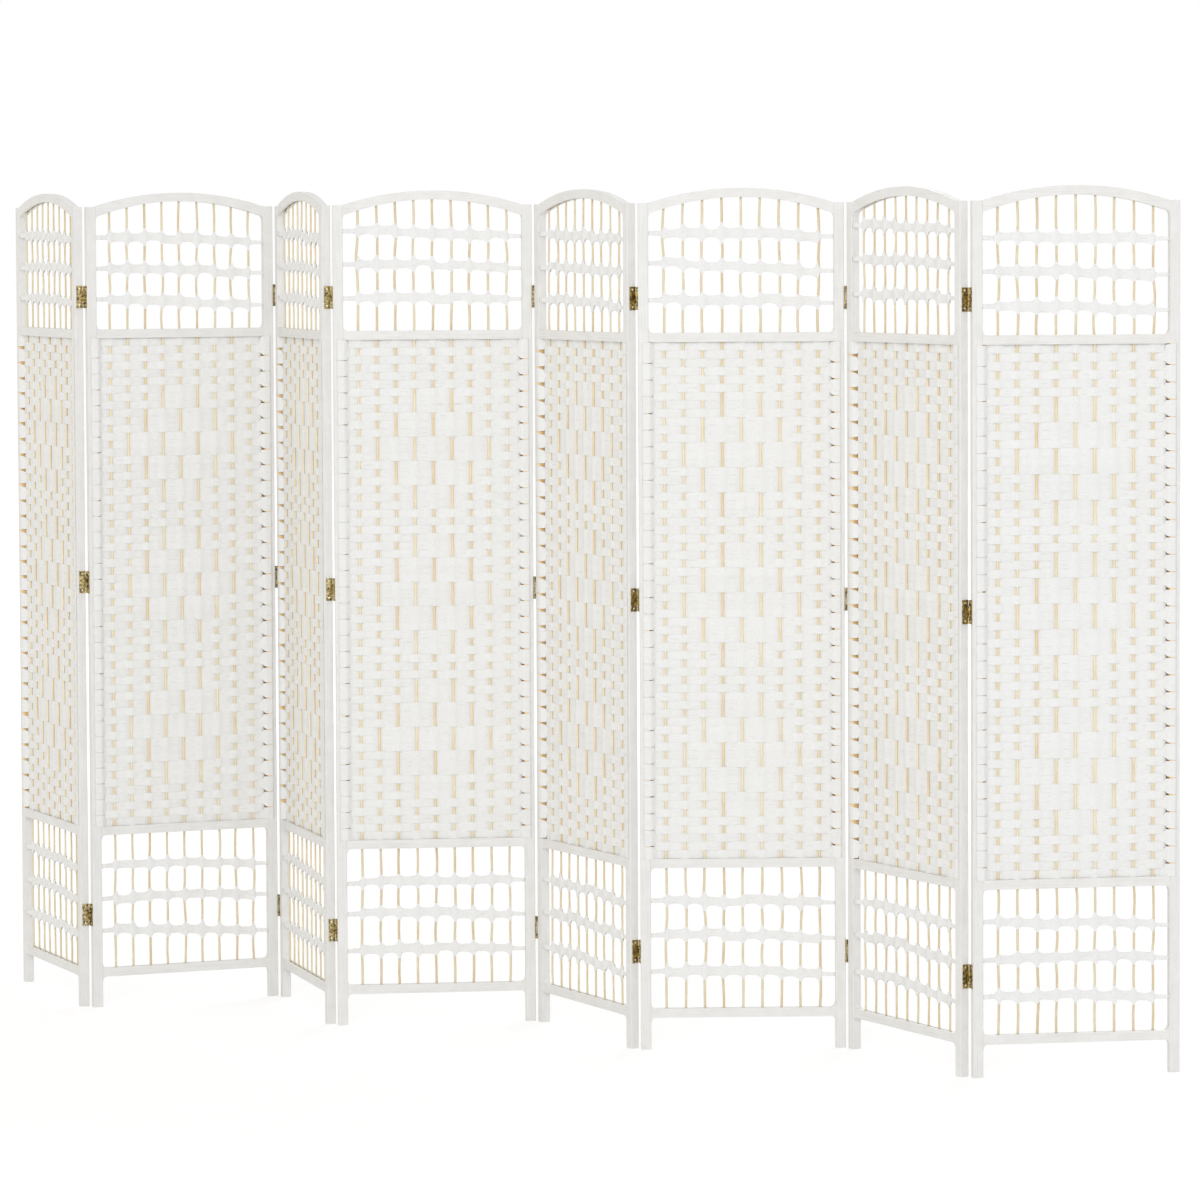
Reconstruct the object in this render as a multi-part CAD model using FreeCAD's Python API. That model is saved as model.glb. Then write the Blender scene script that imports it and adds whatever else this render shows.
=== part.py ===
"""A folding room divider: eight hinged panels that stand in a zigzag.

Each panel has two stiles, an arched top rail, two middle rails and a bottom rail, nine upright rods,
a woven mat between the middle rails and twined bands across the open windows above and below it.
Units are millimetres, +X runs along the screen, -Y is its front, +Z is up and Z = 0 is the floor.
A panel is drawn in its own place first: X = 0 is its left side, Y = 0 its middle plane.
"""

import FreeCAD, Part
import math
import os

V = FreeCAD.Vector

# The screen as it stands: each panel's turn from the +X axis, left to right, in degrees.
panel_turns = [-38.2, 49.8, -44.8, 34.7, -34.3, 29.8, -32.7, 36.6]
panel_count = len(panel_turns)

# Frame
panel_width = 405
stile_height = 1671
stile_width = 20
stile_thick = 18
stile_bevel = 1.2
rail_thick = 16
rail_height = 18
bottom_rail_base = 63
lower_rail_top = 378
upper_rail_drop = 255
arch_rise = 29
arch_height = 18
arch_end_height = 21.5
cove_radius = 8
cove_lip = 0.8
cove_flats = 3

# Rail joints
tenon_length = 12
tenon_thick = 8
tenon_shoulder = 3
glue_gap = 0.05

# Rods
rod_count = 9
rod_width = 5
rod_sides = 6
first_rod = 51
rod_gap = 0.1
rod_seat = 9
slot_margin = 4

# Mat and bands
strip_thick = 1
strip_gap = 0.05
wrap_width = 13
band_height = 18
upper_band_drops = [63, 128, 195]
upper_band_raises = [0, -4, 0, 6, -2, 2, 14, -8]
lower_band_heights = [152, 225, 292]

# Hinges
leaf_height = 46
leaf_width = 14
leaf_thick = 1
knuckle_radius = 1.8
knuckle_sides = 8
bore_sides = 6
end_knuckle = 12
knuckle_gap = 0.3
pin_radius = 0.75
pin_fit = 0.05
pin_offset = 1.6
low_hinge = 193
middle_hinge_rise = 51.5
top_hinge_drop = 187
screw_spacing = 34
screw_head_radius = 2.4
screw_length = 12
screw_sides = 6

# Worked out from the sizes above
joint_gap = 2 * knuckle_radius
upper_rail_top = stile_height - upper_rail_drop
top_hinge = stile_height - top_hinge_drop
middle_hinge = (low_hinge + top_hinge) / 2 + middle_hinge_rise
hinge_heights = [low_hinge, middle_hinge, top_hinge]
half_thick = stile_thick / 2
pin_side = half_thick + pin_offset
inner_left = stile_width
inner_right = panel_width - stile_width
middle = panel_width / 2
rod_pitch = (panel_width - 2 * first_rod) / (rod_count - 1)
rod_places = [first_rod + rod_pitch * i for i in range(rod_count)]
slot_half = rod_width / 2 + rod_gap
mat_half = rod_width / 2 + strip_gap + strip_thick
arch_end_base = stile_height - arch_end_height
arch_under_rise = arch_rise + arch_end_height - arch_height


def box(x0, x1, y0, y1, z0, z1):
    """A block between two corners, given in any order."""
    low = V(min(x0, x1), min(y0, y1), min(z0, z1))
    return Part.makeBox(abs(x1 - x0), abs(y1 - y0), abs(z1 - z0), low)


def upright(outline, z0, z1):
    """A flat outline of X, Y pairs, drawn up from z0 to z1."""
    points = [V(x, y, z0) for x, y in outline]
    return Part.Face(Part.makePolygon(points + points[:1])).extrude(V(0, 0, z1 - z0))


def polygon(sides, inner_radius):
    """X, Y corners of a regular polygon round the origin, with a flat across +X."""
    outer_radius = inner_radius / math.cos(math.pi / sides)
    angles = [math.pi * (2 * i + 1) / sides for i in range(sides)]
    return [(outer_radius * math.cos(a), outer_radius * math.sin(a)) for a in angles]


def across(shape):
    """The same piece on the panel's other side."""
    return shape.mirror(V(middle, 0, 0), V(1, 0, 0))


def circle_height(x, end_height, rise):
    """Height at x of the arc that springs at both stiles and rises by rise in the middle."""
    half_span = middle - inner_left
    radius = (half_span ** 2 + rise ** 2) / (2 * rise)
    return end_height + rise - radius + math.sqrt(radius ** 2 - (x - middle) ** 2)


def arc_edge(x0, x1, end_height, rise):
    """The stretch of that arc from x0 to x1, as an edge in the panel's middle plane."""
    stops = [x0, (x0 + x1) / 2, x1]
    return Part.Arc(*[V(x, 0, circle_height(x, end_height, rise)) for x in stops]).toShape()


def line_edge(x0, z0, x1, z1):
    """A straight edge in the panel's middle plane."""
    return Part.makeLine(V(x0, 0, z0), V(x1, 0, z1))


def plate(edges, thick):
    """A closed run of edges in the middle plane, thickened equally to front and back."""
    face = Part.Face(Part.Wire(Part.__sortEdges__(edges)))
    face.translate(V(0, -thick / 2, 0))
    return face.extrude(V(0, thick, 0))


def tenons(base, height, grow):
    """The pair of tenons on a rail's ends; grow widens them into the mortises that take them."""
    half = tenon_thick / 2 + grow
    low = base + tenon_shoulder - grow
    high = base + height - tenon_shoulder + grow
    reach = tenon_length + grow
    left = box(inner_left - reach, inner_left, -half, half, low, high)
    return [left, across(left)]


def rail_levels():
    """Base and height of the stretch of stile that each rail's end stands against."""
    return {
        "bottom": (bottom_rail_base, rail_height),
        "lower": (lower_rail_top - rail_height, rail_height),
        "upper": (upper_rail_top - rail_height, rail_height),
        "arch": (arch_end_base, arch_end_height),
    }


def make_stiles():
    """Left and right stile: a bar with eased long edges and a mortise for each rail."""
    e = stile_bevel
    y = half_thick
    w = stile_width
    corners = [(e, -y), (w - e, -y), (w, e - y), (w, y - e), (w - e, y), (e, y), (0, y - e), (0, e - y)]
    left = upright(corners, 0, stile_height)
    for base, height in rail_levels().values():
        left = left.cut(tenons(base, height, glue_gap)[0])
    return [left, across(left)]


def cove(x, z, into, up):
    """Edges of a hollow corner at a rail's end: into is the way to the rail's middle, up to the window."""
    start = x + into * cove_lip
    points = [V(x, 0, z + up * cove_radius)]
    for i in range(cove_flats + 1):
        angle = math.pi / 2 * i / cove_flats
        along = cove_radius * (1 - math.cos(angle))
        away = cove_radius * (1 - math.sin(angle))
        points.append(V(start + into * along, 0, z + up * away))
    return Part.makePolygon(points).Edges


def rail_side(z, up, coved):
    """Edges along one long side of a straight rail, and how far its ends reach up or down the stile."""
    if not coved:
        return [line_edge(inner_left, z, inner_right, z)], z
    run = cove_lip + cove_radius
    edges = cove(inner_left, z, 1, up) + cove(inner_right, z, -1, up)
    edges.append(line_edge(inner_left + run, z, inner_right - run, z))
    return edges, z + up * cove_radius


def straight_rail(level, coved_top, coved_base):
    """A rail with tenons, and with hollow corners towards the open windows."""
    base, height = rail_levels()[level]
    top_edges, top_end = rail_side(base + height, 1, coved_top)
    base_edges, base_end = rail_side(base, -1, coved_base)
    ends = [line_edge(x, base_end, x, top_end) for x in (inner_left, inner_right)]
    rail = plate(top_edges + base_edges + ends, rail_thick)
    return rail.fuse(tenons(base, height, 0)).removeSplitter()


def rod_slot(z0, z1):
    """The long slot that lets all the rods into or through a straight rail."""
    reach = rod_width / 2 + slot_margin
    return box(rod_places[0] - reach, rod_places[-1] + reach, -slot_half, slot_half, z0, z1)


def arch_rail():
    """The bowed top rail, with tenons and a groove along its underside for the rods."""
    under = arch_end_base, arch_under_rise
    run = cove_lip + cove_radius
    edges = [arc_edge(inner_left, inner_right, stile_height, arch_rise)]
    edges.append(arc_edge(inner_left + run, inner_right - run, *under))
    for x, into in ((inner_left, 1), (inner_right, -1)):
        foot_z = circle_height(x + into * run, *under)
        edges.extend(cove(x, foot_z, into, -1))
        edges.append(line_edge(x, foot_z - cove_radius, x, stile_height))
    rail = plate(edges, rail_thick).fuse(tenons(arch_end_base, arch_end_height, 0)).removeSplitter()
    reach = rod_width / 2 + slot_margin
    left, right = rod_places[0] - reach, rod_places[-1] + reach
    groove_roof = arc_edge(left, right, arch_end_base + rod_seat, arch_under_rise)
    open_z = arch_end_base
    sides = [line_edge(x, open_z, x, circle_height(x, arch_end_base + rod_seat, arch_under_rise))
             for x in (left, right)]
    groove = plate([groove_roof, line_edge(left, open_z, right, open_z)] + sides, 2 * slot_half)
    return rail.cut(groove)


def make_rails():
    """Bottom, lower middle, upper middle and arched top rail."""
    bottom_base, height = rail_levels()["bottom"]
    bottom_top = bottom_base + height
    bottom = straight_rail("bottom", True, True).cut(rod_slot(bottom_top - rod_seat, bottom_top))
    lower = straight_rail("lower", False, True)
    lower = lower.cut(rod_slot(lower_rail_top - rail_height, lower_rail_top))
    upper = straight_rail("upper", True, False)
    upper = upper.cut(rod_slot(upper_rail_top - rail_height, upper_rail_top))
    return [bottom, lower, upper, arch_rail()]


def make_rods():
    """The rods, from the bottom rail's groove, through the middle rails, to the groove in the arch."""
    rods = []
    base = bottom_rail_base + rail_height - rod_seat
    for x in rod_places:
        sides = [x - rod_width / 2, x + rod_width / 2]
        top = min(circle_height(s, arch_end_base, arch_under_rise) for s in sides) + rod_seat - rod_gap
        outline = [(x - v, u) for u, v in polygon(rod_sides, rod_width / 2)]
        rods.append(upright(outline, base, top))
    return rods


def make_mat():
    """The mat, whose strips turn over the stiles' inner edges, as a sleeve round the rods."""
    edge = half_thick + strip_thick
    quarter = [
        (inner_left, -half_thick),
        (inner_left - wrap_width, -half_thick),
        (inner_left - wrap_width, -edge),
        (inner_left + strip_thick, -edge),
        (inner_left + strip_thick, -mat_half),
    ]
    front = quarter + [(panel_width - x, y) for x, y in reversed(quarter)]
    back = [(x, -y) for x, y in reversed(front)]
    mat_base = lower_rail_top
    mat_top = upper_rail_top - rail_height
    reach = rod_width / 2 + slot_margin
    inside = mat_half - strip_thick
    hollow = box(rod_places[0] - reach, rod_places[-1] + reach, -inside, inside, mat_base, mat_top)
    return upright(front + back, mat_base, mat_top).cut(hollow)


def make_bands(raised):
    """The two strands of each twined band. Bands are tied by hand, so a panel's upper ones may sit raised."""
    inside = mat_half - strip_thick
    half = band_height / 2
    strands = []
    for z in lower_band_heights + [stile_height - drop + raised for drop in upper_band_drops]:
        for side in (-1, 1):
            strands.append(box(inner_left, inner_right, side * inside, side * mat_half, z - half, z + half))
    return strands


def panel_ends(index):
    """For each hinged end of a panel: where its hinge line is, and the ways to its wood and its face."""
    ends = []
    back = 1 if index % 2 else -1
    if index > 0:
        ends.append((-joint_gap / 2, back * pin_side, 1, -back, "outer"))
    if index < panel_count - 1:
        ends.append((panel_width + joint_gap / 2, -back * pin_side, -1, back, "inner"))
    return ends


def knuckle_spans(kind, z):
    """Lower and upper end of a leaf's knuckles on a hinge centred at height z."""
    half = leaf_height / 2
    if kind == "inner":
        reach = half - end_knuckle - knuckle_gap
        return [(z - reach, z + reach)]
    return [(z - half, z - half + end_knuckle), (z + half - end_knuckle, z + half)]


def hinge_leaf(x, y, into, inward, kind, z):
    """A plate on the stile's side face, rolled into knuckles round the pin."""
    half = leaf_height / 2
    plate_x0 = x + into * (knuckle_radius - leaf_thick)
    plate_x1 = x + into * knuckle_radius
    clear = knuckle_radius / math.cos(math.pi / knuckle_sides) + knuckle_gap
    plate_y0 = y + inward * clear
    plate_y1 = y + inward * (pin_offset + leaf_width)
    leaf = box(plate_x0, plate_x1, plate_y0, plate_y1, z - half, z + half)
    bore = polygon(bore_sides, pin_radius + pin_fit)
    barrel = polygon(knuckle_sides, knuckle_radius)
    for low, high in knuckle_spans(kind, z):
        tab = box(plate_x0, plate_x1, y, plate_y0, low, high)
        roll = upright([(x + u, y + v) for u, v in barrel], low, high)
        hole = upright([(x + u, y + v) for u, v in bore], low, high)
        leaf = leaf.fuse([tab, roll]).cut(hole)
    return leaf.removeSplitter()


def hinge_pin(x, y, z):
    """The round pin, drawn as two half rounds that meet along its length."""
    base = V(x, y, z - leaf_height / 2)
    up = V(0, 0, 1)
    half_round = Part.makeCylinder(pin_radius, leaf_height, base, up, 180)
    other = half_round.copy()
    other.rotate(base, up, 180)
    return half_round.fuse(other).Solids[0]


def hinge_screws(x, y, into, inward, z):
    """A leaf's two screws: a head flush with the plate that tapers to a point in the stile."""
    screws = []
    face_x = x + into * (knuckle_radius - leaf_thick)
    middle_y = y + inward * (pin_offset + leaf_width / 2)
    turn = FreeCAD.Rotation(V(0, 0, 1), V(into, 0, 0))
    rim = [V(u, v, 0) for u, v in polygon(screw_sides, screw_head_radius)]
    tip = V(0, 0, screw_length)
    faces = [Part.Face(Part.makePolygon([a, b, tip, a])) for a, b in zip(rim, rim[1:] + rim[:1])]
    faces.append(Part.Face(Part.makePolygon(rim + rim[:1])))
    for side in (-1, 1):
        screw = Part.Solid(Part.Shell(faces))
        screw.Placement = FreeCAD.Placement(V(face_x, middle_y, z + side * screw_spacing / 2), turn)
        screws.append(screw)
    return screws


def panel_places():
    """Place of each panel: every hinge line joins one panel's right end to the next one's left."""
    places = []
    start = V(0, 0, 0)
    for index, degrees in enumerate(panel_turns):
        turn = FreeCAD.Rotation(V(0, 0, 1), degrees)
        ends = {kind: V(x, y, 0) for x, y, into, inward, kind in panel_ends(index)}
        if "outer" in ends:
            start = start - turn.multVec(ends["outer"])
        places.append(FreeCAD.Placement(start, turn))
        if "inner" in ends:
            start = start + turn.multVec(ends["inner"])
    return places


def export(name, solids, place):
    """Write one group of solids, put in its place on the floor, as a part file."""
    group = Part.makeCompound(solids)
    group.Placement = place
    group.exportStep("parts/" + name + ".step")


os.makedirs("parts", exist_ok=True)

stiles = make_stiles()
rails = make_rails()
rods = make_rods()
mat = make_mat()

# Centre the screen over the floor's origin.
places = panel_places()
outlines = []
for place in places:
    outline = Part.makeCompound(stiles)
    outline.Placement = place
    outlines.append(outline)
reach = Part.makeCompound(outlines).BoundBox
for place in places:
    place.Base = place.Base - V(reach.Center.x, reach.Center.y, 0)

for index, place in enumerate(places):
    number = str(index + 1)
    leaves = []
    screws = []
    pins = []
    for x, y, into, inward, kind in panel_ends(index):
        for z in hinge_heights:
            leaves.append(hinge_leaf(x, y, into, inward, kind, z))
            screws.extend(hinge_screws(x, y, into, inward, z))
            if kind == "outer":
                pins.append(hinge_pin(x, y, z))
        if kind == "inner":
            pivot = place.multVec(V(x, y, 0))
            print("hinge line", number, "at", round(pivot.x, 4), round(pivot.y, 4))
    export("stiles_" + number, stiles, place)
    export("rails_" + number, rails, place)
    export("rods_" + number, rods, place)
    export("weave_" + number, [mat] + make_bands(upper_band_raises[index]), place)
    export("hinge_leaves_" + number, leaves, place)
    export("hinge_screws_" + number, screws, place)
    if pins:
        export("hinge_pins_" + number, pins, place)
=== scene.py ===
import math
import bpy
import numpy as np
from mathutils import Matrix, Vector


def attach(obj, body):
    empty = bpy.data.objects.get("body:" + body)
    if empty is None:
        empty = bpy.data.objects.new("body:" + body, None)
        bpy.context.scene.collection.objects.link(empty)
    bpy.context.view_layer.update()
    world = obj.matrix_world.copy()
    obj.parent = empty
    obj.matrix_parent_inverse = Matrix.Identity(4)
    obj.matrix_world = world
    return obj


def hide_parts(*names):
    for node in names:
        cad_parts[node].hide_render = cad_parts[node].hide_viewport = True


# Looks of a folding room divider: painted frames, woven paper mats, twined bands and brass hinges.
# Lengths are metres in the row frame: +X along the screen, -Y its front, +Z up.
# Each panel's pieces are drawn in the panel's own place (X across from its left side, Y to the back,
# Z up from the floor) and then set where the frame has that panel.

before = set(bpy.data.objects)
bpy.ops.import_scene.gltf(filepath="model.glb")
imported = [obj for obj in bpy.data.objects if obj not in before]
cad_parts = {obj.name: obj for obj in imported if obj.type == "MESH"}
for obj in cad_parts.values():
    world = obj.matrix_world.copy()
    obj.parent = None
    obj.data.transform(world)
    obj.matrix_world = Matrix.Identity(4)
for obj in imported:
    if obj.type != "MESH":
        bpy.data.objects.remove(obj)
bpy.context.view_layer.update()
rng = np.random.default_rng(8)

PANELS = sorted(int(name.split("_")[1]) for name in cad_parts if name.startswith("stiles_"))


def node_points(name):
    """All corners of a frame node, as rows of x, y, z."""
    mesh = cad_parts[name].data
    flat = np.empty(len(mesh.vertices) * 3)
    mesh.vertices.foreach_get("co", flat)
    return flat.reshape(-1, 3)


def panel_place(number):
    """Where a panel stands: the floor point under its left side, and its across, back and up ways."""
    corners = node_points(f"stiles_{number}")[:, :2]
    middle = corners.mean(axis=0)
    spread = corners - middle
    across = np.linalg.svd(spread, full_matrices=False)[2][0]
    across = across * np.sign(across[0])
    back = np.array([-across[1], across[0]])
    along = spread @ across
    deep = spread @ back
    origin = middle + across * along.min() + back * (deep.min() + deep.max()) / 2
    turn = np.array([[*across, 0.0], [*back, 0.0], [0.0, 0.0, 1.0]])
    return {"origin": np.array([*origin, 0.0]), "turn": turn, "heading": math.atan2(across[1], across[0])}


def to_row(place, local):
    """Points from a panel's own place to the row frame."""
    return place["origin"] + local.reshape(-1, 3) @ place["turn"]


def to_panel(place, points):
    """Points from the row frame to a panel's own place."""
    return (points - place["origin"]) @ place["turn"].T


PLACES = {number: panel_place(number) for number in PANELS}

# Sizes read from the first panel, as all panels are alike.
stile = to_panel(PLACES[1], node_points("stiles_1"))
PANEL_WIDTH = stile[:, 0].max()
STILE_WIDTH = stile[stile[:, 0] < PANEL_WIDTH / 2, 0].max()
HALF_STILE = stile[:, 1].max()
INNER_LEFT = STILE_WIDTH
INNER_RIGHT = PANEL_WIDTH - STILE_WIDTH

rod = to_panel(PLACES[1], node_points("rods_1"))
rod = rod[np.argsort(rod[:, 0])]
ROD_GROUPS = np.split(rod, np.nonzero(np.diff(rod[:, 0]) > 0.01)[0] + 1)
ROD_X = np.array([(group[:, 0].min() + group[:, 0].max()) / 2 for group in ROD_GROUPS])
ROD_BASE = np.array([group[:, 2].min() for group in ROD_GROUPS])
ROD_TOP = np.array([group[:, 2].max() for group in ROD_GROUPS])
ROD_RADIUS = rod[:, 1].max()
ROD_COUNT = len(ROD_X)
ROD_PITCH = ROD_X[1] - ROD_X[0]


def weave_levels(number):
    """Lower and upper heights of a panel's mat and bands, as rows from the floor up."""
    return np.unique(np.round(node_points(f"weave_{number}")[:, 2], 5)).reshape(-1, 2)


def band_levels(number):
    """Middle heights of a panel's bands, from the floor up."""
    heights = weave_levels(number)
    return heights[heights[:, 1] - heights[:, 0] < MAT_TOP - MAT_BASE - ROD_PITCH].mean(axis=1)


woven = to_panel(PLACES[1], node_points("weave_1"))
MAT_BASE, MAT_TOP = max(weave_levels(1), key=lambda span: span[1] - span[0])
WRAP_REACH = INNER_LEFT - woven[:, 0].min()

# Weave
ROW_COUNT = 62
ROW_PITCH = (MAT_TOP - MAT_BASE) / ROW_COUNT
STRIP_HALF = 0.00045  # half a strip's thickness
STRIP_LIFT = 0.0005  # room between a rod and the middle of the strip round it
DIAMOND_ROWS = 18  # rows from one diamond to the next
DIAMOND_REACH = (1, 2, 3, 2, 1)  # rods on each side of the middle one, in each reversed row of a diamond
FIRST_TURNED = 7  # first reversed row


def smooth(t):
    """Ease from 0 to 1 with level ends."""
    t = np.clip(t, 0.0, 1.0)
    return t * t * (3 - 2 * t)


def tube_faces(rings, sides, count):
    """Quads of count closed tubes, each of rings rings of sides corners that turn right-handed along it."""
    i = np.arange(rings - 1)[:, None] * sides
    j = np.arange(sides)[None, :]
    k = (j + 1) % sides
    wall = np.stack([i + j, i + k, i + sides + k, i + sides + j], axis=-1).reshape(-1, 4)
    half = np.arange(sides // 2 - 1)
    cap = np.stack([half, half + 1, sides - 2 - half, sides - 1 - half], axis=-1)
    one = np.concatenate([wall, cap[:, ::-1], cap + (rings - 1) * sides])
    return (one[None] + np.arange(count)[:, None, None] * rings * sides).reshape(-1, 4)


def piece(name, number, local, faces, tone, material, smooth_faces=True, sharp_lines=()):
    """A closed mesh of quads in panel number's place, on that panel's body.
    Its points keep their place in the panel and a tone of their own for the materials to read.
    Along a tube, lines through the corners in sharp_lines keep a crisp edge between flat faces."""
    sides = local.shape[-2]
    local = local.reshape(-1, 3)
    mesh = bpy.data.meshes.new(name)
    mesh.vertices.add(len(local))
    mesh.vertices.foreach_set("co", to_row(PLACES[number], local).ravel())
    mesh.loops.add(faces.size)
    mesh.loops.foreach_set("vertex_index", faces.ravel().astype(np.int32))
    mesh.polygons.add(len(faces))
    mesh.polygons.foreach_set("loop_start", np.arange(0, faces.size, faces.shape[1], dtype=np.int32))
    mesh.polygons.foreach_set("use_smooth", np.full(len(faces), smooth_faces))
    mesh.update(calc_edges=True)
    if sharp_lines:
        ends = np.empty(2 * len(mesh.edges), dtype=np.int32)
        mesh.edges.foreach_get("vertices", ends)
        corner = ends.reshape(-1, 2) % sides
        sharp = (corner[:, 0] == corner[:, 1]) & np.isin(corner[:, 0], sharp_lines)
        mesh.attributes.new("sharp_edge", "BOOLEAN", "EDGE").data.foreach_set("value", sharp)
    mesh.attributes.new("panel_place", "FLOAT_VECTOR", "POINT").data.foreach_set("vector", local.ravel())
    tones = np.broadcast_to(tone, local.shape[:1]).astype(np.float32)
    mesh.attributes.new("tone", "FLOAT", "POINT").data.foreach_set("value", tones)
    mesh.materials.append(material)
    obj = bpy.data.objects.new(name, mesh)
    bpy.context.scene.collection.objects.link(obj)
    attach(obj, f"panel_{number}")
    return obj


# Materials


def node_group(name, inputs, outputs):
    """An empty shader node group with the given sockets."""
    group = bpy.data.node_groups.new(name, "ShaderNodeTree")
    for label, kind, value in inputs:
        socket = group.interface.new_socket(label, in_out="INPUT", socket_type=kind)
        if value is not None:
            socket.default_value = value
    for label, kind in outputs:
        group.interface.new_socket(label, in_out="OUTPUT", socket_type=kind)
    return group, group.nodes.new("NodeGroupInput"), group.nodes.new("NodeGroupOutput")


def add(tree, kind, settings=None, **links):
    """A node in tree, with settings on its sockets or properties and links from other sockets."""
    node = tree.nodes.new(kind)
    for key, value in (settings or {}).items():
        if isinstance(key, str) and hasattr(node, key) and key not in node.inputs:
            setattr(node, key, value)
        else:
            node.inputs[key].default_value = value
    for key, socket in links.items():
        index = int(key[1:]) if key[1:].isdigit() else key.replace("_", " ")
        tree.links.new(socket, node.inputs[index])
    return node


def ramp(tree, fac, stops):
    """A colour ramp over fac, with stops of place and colour."""
    node = tree.nodes.new("ShaderNodeValToRGB")
    tree.links.new(fac, node.inputs["Fac"])
    while len(node.color_ramp.elements) < len(stops):
        node.color_ramp.elements.new(0.5)
    for element, (place, colour) in zip(node.color_ramp.elements, stops):
        element.position = place
        element.color = (*colour, 1)
    return node.outputs["Color"]


def grain_group():
    """Long fine streaks along the first axis of the place given in metres, with slow patches between."""
    group, given, result = node_group(
        "long_grain",
        [("Place", "NodeSocketVector", None), ("Fineness", "NodeSocketFloat", 900.0),
         ("Stretch", "NodeSocketFloat", 0.02)],
        [("Streak", "NodeSocketFloat"), ("Patch", "NodeSocketFloat")],
    )
    parts = add(group, "ShaderNodeSeparateXYZ", None, Vector=given.outputs["Place"])
    short = add(group, "ShaderNodeMath", {"operation": "MULTIPLY"}, i0=parts.outputs["X"],
                i1=given.outputs["Stretch"])
    drawn = add(group, "ShaderNodeCombineXYZ", None, X=short.outputs[0], Y=parts.outputs["Y"],
                Z=parts.outputs["Z"])
    fine = add(group, "ShaderNodeTexNoise", {"Detail": 3.0, "Roughness": 0.65}, Vector=drawn.outputs[0],
               Scale=given.outputs["Fineness"])
    slow = add(group, "ShaderNodeTexNoise", {"Scale": 35.0, "Detail": 2.0}, Vector=given.outputs["Place"])
    group.links.new(fine.outputs["Fac"], result.inputs["Streak"])
    group.links.new(slow.outputs["Fac"], result.inputs["Patch"])
    return group


def wear_group():
    """Where an edge is rubbed: how far an eased edge's normal turns from the face's own, in noisy spots."""
    group, given, result = node_group(
        "edge_wear",
        [("Place", "NodeSocketVector", None), ("Reach", "NodeSocketFloat", 0.001),
         ("Spots", "NodeSocketFloat", 120.0)],
        [("Wear", "NodeSocketFloat")],
    )
    eased = add(group, "ShaderNodeBevel", {"samples": 4}, Radius=given.outputs["Reach"])
    face = add(group, "ShaderNodeNewGeometry")
    turn = add(group, "ShaderNodeVectorMath", {"operation": "DOT_PRODUCT"}, i0=eased.outputs["Normal"],
               i1=face.outputs["Normal"])
    edge = add(group, "ShaderNodeMapRange", {"From Min": 0.99, "From Max": 0.80}, Value=turn.outputs["Value"])
    spots = add(group, "ShaderNodeTexNoise", {"Detail": 3.0}, Vector=given.outputs["Place"],
                Scale=given.outputs["Spots"])
    rub = add(group, "ShaderNodeMapRange", {"From Min": 0.42, "From Max": 0.66}, Value=spots.outputs["Fac"])
    both = add(group, "ShaderNodeMath", {"operation": "MULTIPLY"}, i0=edge.outputs[0], i1=rub.outputs[0])
    group.links.new(both.outputs[0], result.inputs["Wear"])
    return group


GRAIN = grain_group()
WEAR = wear_group()


def material(name):
    """A node material with a Principled shader, ready for its links."""
    made = bpy.data.materials.new(name)
    made.use_nodes = True
    return made, made.node_tree, made.node_tree.nodes["Principled BSDF"]


def grain(tree, place, fineness, stretch):
    """The streak and patch outputs of the shared grain at a place socket."""
    node = tree.nodes.new("ShaderNodeGroup")
    node.node_tree = GRAIN
    tree.links.new(place, node.inputs["Place"])
    node.inputs["Fineness"].default_value = fineness
    node.inputs["Stretch"].default_value = stretch
    return node.outputs["Streak"], node.outputs["Patch"]


def worn(tree, place, colour, reach, spots, strength, bare):
    """The colour with its edges rubbed through to the bare colour by the shared edge wear."""
    node = tree.nodes.new("ShaderNodeGroup")
    node.node_tree = WEAR
    tree.links.new(place, node.inputs["Place"])
    node.inputs["Reach"].default_value = reach
    node.inputs["Spots"].default_value = spots
    part = add(tree, "ShaderNodeMath", {"operation": "MULTIPLY", 1: strength}, i0=node.outputs["Wear"])
    mixed = add(tree, "ShaderNodeMix", {"data_type": "RGBA"}, i0=part.outputs[0])
    mixed.inputs[7].default_value = (*bare, 1)
    tree.links.new(colour, mixed.inputs[6])
    return mixed.outputs[2]


def multiplied(tree, first, second, share=1.0):
    """The first colour darkened by the second, by a share of its full effect."""
    mixed = add(tree, "ShaderNodeMix", {"data_type": "RGBA", "blend_type": "MULTIPLY", "Factor": share})
    tree.links.new(first, mixed.inputs[6])
    tree.links.new(second, mixed.inputs[7])
    return mixed.outputs[2]


def upright_place(tree, parts):
    """A place with height as its first axis, for grain that runs up the piece."""
    swapped = add(tree, "ShaderNodeCombineXYZ", None, X=parts.outputs["Z"], Y=parts.outputs["Y"],
                  Z=parts.outputs["X"])
    return swapped.outputs[0]


def bump(tree, shader, height, distance, strength):
    """Give the shader a bump of that depth in metres from a height socket."""
    node = add(tree, "ShaderNodeBump", {"Strength": strength, "Distance": distance}, Height=height)
    tree.links.new(node.outputs["Normal"], shader.inputs["Normal"])


def turned_place(tree, turn):
    """Object coordinates turned so that the piece's length runs along the first axis."""
    place = add(tree, "ShaderNodeTexCoord")
    mapped = add(tree, "ShaderNodeMapping", {"vector_type": "POINT", "Rotation": turn},
                 Vector=place.outputs["Object"])
    return mapped.outputs["Vector"]


RUBBED_PAINT = (0.60, 0.50, 0.36)
RUBBED_BRASS_AND_HIGHLIGHT = (0.86, 0.70, 0.38)


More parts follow.
